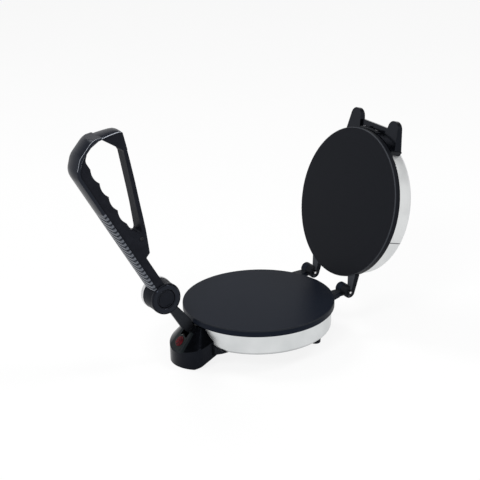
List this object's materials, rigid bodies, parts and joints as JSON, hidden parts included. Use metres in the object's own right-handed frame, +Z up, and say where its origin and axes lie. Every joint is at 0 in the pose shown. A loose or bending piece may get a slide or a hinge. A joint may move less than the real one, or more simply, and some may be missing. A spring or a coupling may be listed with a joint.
{
  "type": "electric roti maker",
  "caption": "Countertop flatbread press with two hinged round cooking plates, a front housing with a pilot light, and a long folding press handle on a link.",
  "frame": {"origin": "on the table, in the middle of the footprint seen from above with the lid open and the handle raised", "axes": "+Z up, +Y from the front housing towards the lid's hinge, +X to the right seen from the front"},
  "size_m": [0.203, 0.4583, 0.3337],
  "materials": {
    "nonstick_casting": "matt non-stick coating",
    "stainless_sheet": "satin",
    "mica": "matt",
    "ceramic_fibre": "matt",
    "black_steel": "semi-gloss",
    "bakelite": "gloss",
    "dark_panel": "satin",
    "red_lens": "gloss",
    "lamp_glass": "gloss",
    "ceramic": "matt",
    "rubber": "matt",
    "washer_brass": "satin",
    "bright_steel": "polished"
  },
  "bodies": {
    "base": {"lower_plate": "nonstick_casting", "lower_element": "mica", "lower_insulation": "ceramic_fibre", "lower_pressure_plate": "bright_steel", "lower_stud_nuts": "bright_steel", "lower_pan": "stainless_sheet", "pan_screws": "bright_steel", "thermostat": "ceramic", "thermostat_bracket": "bright_steel", "strap_screws": "bright_steel", "thermal_fuse": "ceramic", "rear_foot_left": "bakelite", "rear_foot_right": "bakelite", "foot_screws": "bright_steel", "foot_nuts": "bright_steel", "front_housing": "bakelite", "housing_floor": "bakelite", "floor_screws": "bright_steel", "housing_screws": "bright_steel", "housing_nuts": "bright_steel", "indicator_panel": "dark_panel", "indicator_lens": "red_lens", "neon_lamp": "lamp_glass", "terminal_block": "ceramic", "cord_gland": "rubber", "mains_wires": "rubber", "link_bracket": "black_steel", "bracket_rivets": "bright_steel", "link_pin": "bright_steel", "hinge_pin_left": "bright_steel", "hinge_pin_right": "bright_steel"},
    "lid": {"upper_plate": "nonstick_casting", "upper_cover": "stainless_sheet", "upper_element": "mica", "upper_insulation": "ceramic_fibre", "upper_pressure_plate": "bright_steel", "upper_stud_nuts": "bright_steel", "cover_screws": "bright_steel", "lid_bracket": "bakelite", "bracket_screws": "bright_steel", "bracket_clamp": "black_steel"},
    "link": {"link_arm": "black_steel"},
    "handle": {"handle_frame": "bakelite", "handle_grip": "bakelite", "handle_screws": "bright_steel", "pivot_bolt": "bright_steel", "pivot_nut": "bright_steel", "friction_washers": "washer_brass", "pivot_cap": "bakelite", "pivot_end_plate": "bright_steel"}
  },
  "joints": [
    {"name": "lid_hinge", "type": "hinge", "parent": "base", "child": "lid", "pos_m": [0, 0.1418, 0.06092], "axis": [1, 0, 0], "range_deg": [0, 105.5]},
    {"name": "link_pivot", "type": "hinge", "parent": "base", "child": "link", "pos_m": [0, -0.075, 0.042], "axis": [1, 0, 0], "range_deg": [0, 18]},
    {"name": "handle_pivot", "type": "hinge", "parent": "link", "child": "handle", "pos_m": [0, -0.11606, 0.10151], "axis": [1, 0, 0], "range_deg": [-102.5, 0]}
  ]
}
